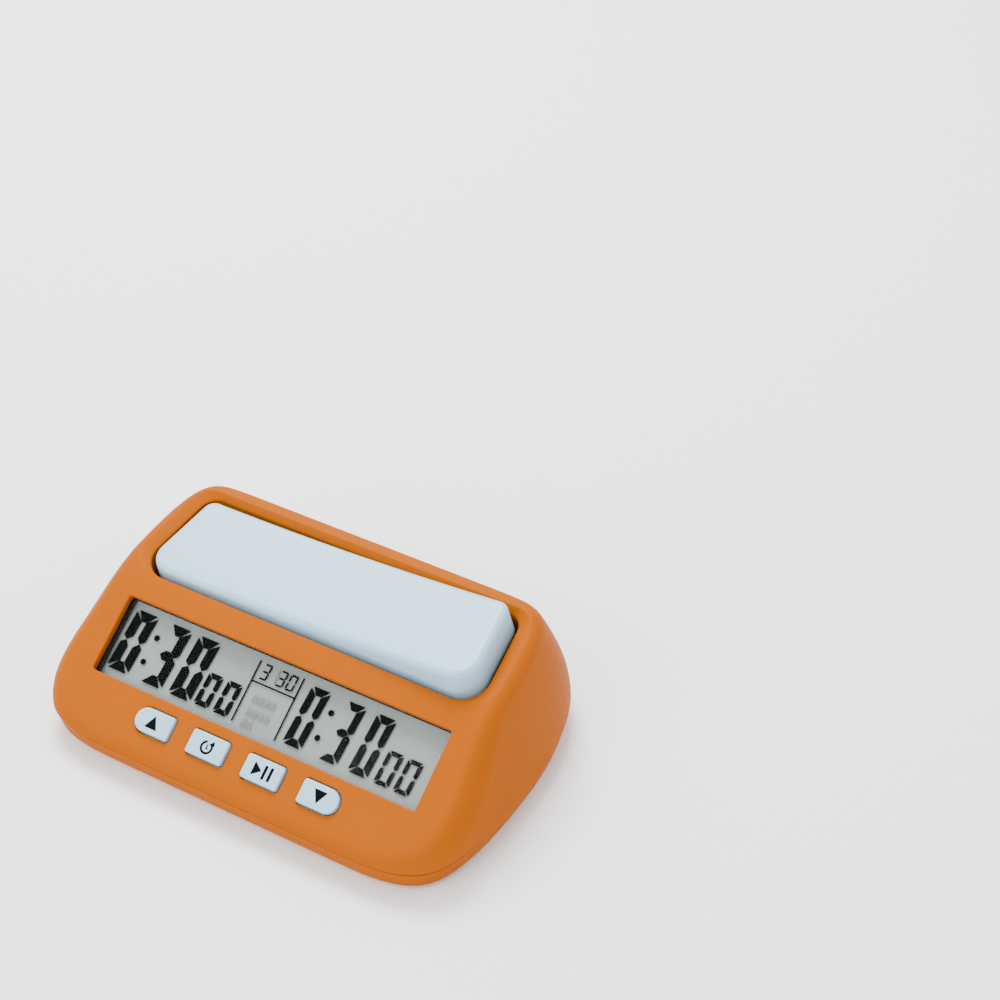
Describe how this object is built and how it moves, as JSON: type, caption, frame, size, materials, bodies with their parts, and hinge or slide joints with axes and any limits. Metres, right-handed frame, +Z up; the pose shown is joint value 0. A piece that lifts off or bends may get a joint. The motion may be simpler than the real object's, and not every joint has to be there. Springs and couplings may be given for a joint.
{
  "type": "chess clock",
  "caption": "Digital chess clock: wedge-shaped orange case, long white tilting lever on top, wide sunken LCD on the sloping front and a row of small keys.",
  "frame": {"origin": "on the table under the middle of the clock's overall box", "axes": "+X to the player's right across the display, +Y from the keys to the back, +Z up"},
  "size_m": [0.15, 0.103, 0.0501],
  "materials": {
    "orange_case": "fine satin moulded texture",
    "white_plastic": "smooth semi-gloss",
    "clear_window": "clear polished sheet",
    "black_foam": "matt foam",
    "lcd": "grey reflective liquid-crystal panel with dark segments",
    "zebra": "soft striped elastomer",
    "circuit_board": "solder mask",
    "black_plastic": "satin moulded",
    "red_plastic": "satin moulded",
    "steel": "bright plated",
    "cell_label": "glossy printed sleeve",
    "red_lead": "insulated wire",
    "black_lead": "insulated wire",
    "grey_lead": "insulated wire",
    "foot_rubber": "matt rubber"
  },
  "bodies": {
    "casing": {"upper_shell": "orange_case", "lower_shell": "orange_case", "display_window": "clear_window", "display_gasket": "black_foam", "lcd_glass": "lcd", "lcd_holder": "white_plastic", "zebra_strip_lower": "zebra", "zebra_strip_upper": "zebra", "main_board": "circuit_board", "controller_chip": "black_plastic", "crystal": "steel", "buzzer": "black_plastic", "pivot_pin": "steel", "lever_board": "circuit_board", "lever_switch_left": "black_plastic", "lever_switch_right": "black_plastic", "battery_cell": "cell_label", "battery_spring": "steel", "battery_contact": "steel", "battery_lead_plus": "red_lead", "battery_lead_minus": "black_lead", "lever_lead": "grey_lead", "power_switch": "steel", "key_switch_up": "black_plastic", "key_switch_reset": "black_plastic", "key_switch_start_pause": "black_plastic", "key_switch_down": "black_plastic", "foot_1": "foot_rubber", "case_screw_1": "steel", "board_screw_1": "steel", "foot_2": "foot_rubber", "case_screw_2": "steel", "board_screw_2": "steel", "foot_3": "foot_rubber", "case_screw_3": "steel", "board_screw_3": "steel", "foot_4": "foot_rubber", "case_screw_4": "steel", "board_screw_4": "steel"},
    "lever": {"lever": "white_plastic"},
    "lever_plunger_left": {"lever_plunger_left": "red_plastic"},
    "lever_plunger_right": {"lever_plunger_right": "red_plastic"},
    "battery_door": {"battery_door": "orange_case"},
    "power_knob": {"power_knob": "black_plastic"},
    "key_up": {"key_up": "white_plastic", "key_plunger_up": "red_plastic"},
    "key_reset": {"key_reset": "white_plastic", "key_plunger_reset": "red_plastic"},
    "key_start_pause": {"key_start_pause": "white_plastic", "key_plunger_start_pause": "red_plastic"},
    "key_down": {"key_down": "white_plastic", "key_plunger_down": "red_plastic"}
  },
  "joints": [
    {"name": "lever_tilt", "type": "hinge", "parent": "casing", "child": "lever", "pos_m": [0, 0.0124, 0.0374], "axis": [0, 0.9851, 0.1719], "range_deg": [0, 6.8]},
    {"name": "key_up_press", "type": "slide", "parent": "casing", "child": "key_up", "axis": [0, 0.5388, -0.8425], "range_m": [0, 0.0007], "stiffness_N_per_m": 300},
    {"name": "key_reset_press", "type": "slide", "parent": "casing", "child": "key_reset", "axis": [0, 0.5388, -0.8425], "range_m": [0, 0.0007], "stiffness_N_per_m": 300},
    {"name": "key_start_pause_press", "type": "slide", "parent": "casing", "child": "key_start_pause", "axis": [0, 0.5388, -0.8425], "range_m": [0, 0.0007], "stiffness_N_per_m": 300},
    {"name": "key_down_press", "type": "slide", "parent": "casing", "child": "key_down", "axis": [0, 0.5388, -0.8425], "range_m": [0, 0.0007], "stiffness_N_per_m": 300},
    {"name": "lever_plunger_left_travel", "type": "slide", "parent": "casing", "child": "lever_plunger_left", "axis": [0, -0.1719, 0.9851], "range_m": [0, 0.00046]},
    {"name": "lever_plunger_right_travel", "type": "slide", "parent": "casing", "child": "lever_plunger_right", "axis": [0, 0.1719, -0.9851], "range_m": [0, 0.00046]},
    {"name": "battery_door_off", "type": "slide", "parent": "casing", "child": "battery_door", "axis": [0, 0, -1], "range_m": [0, 0.015]},
    {"name": "power_slide", "type": "slide", "parent": "casing", "child": "power_knob", "axis": [1, 0, 0], "range_m": [0, 0.0026]}
  ],
  "couplings": [
    {"joint": "lever_plunger_left_travel", "follows": "lever_tilt", "m_per_rad": 0.003698},
    {"joint": "lever_plunger_right_travel", "follows": "lever_tilt", "m_per_rad": 0.003698}
  ]
}
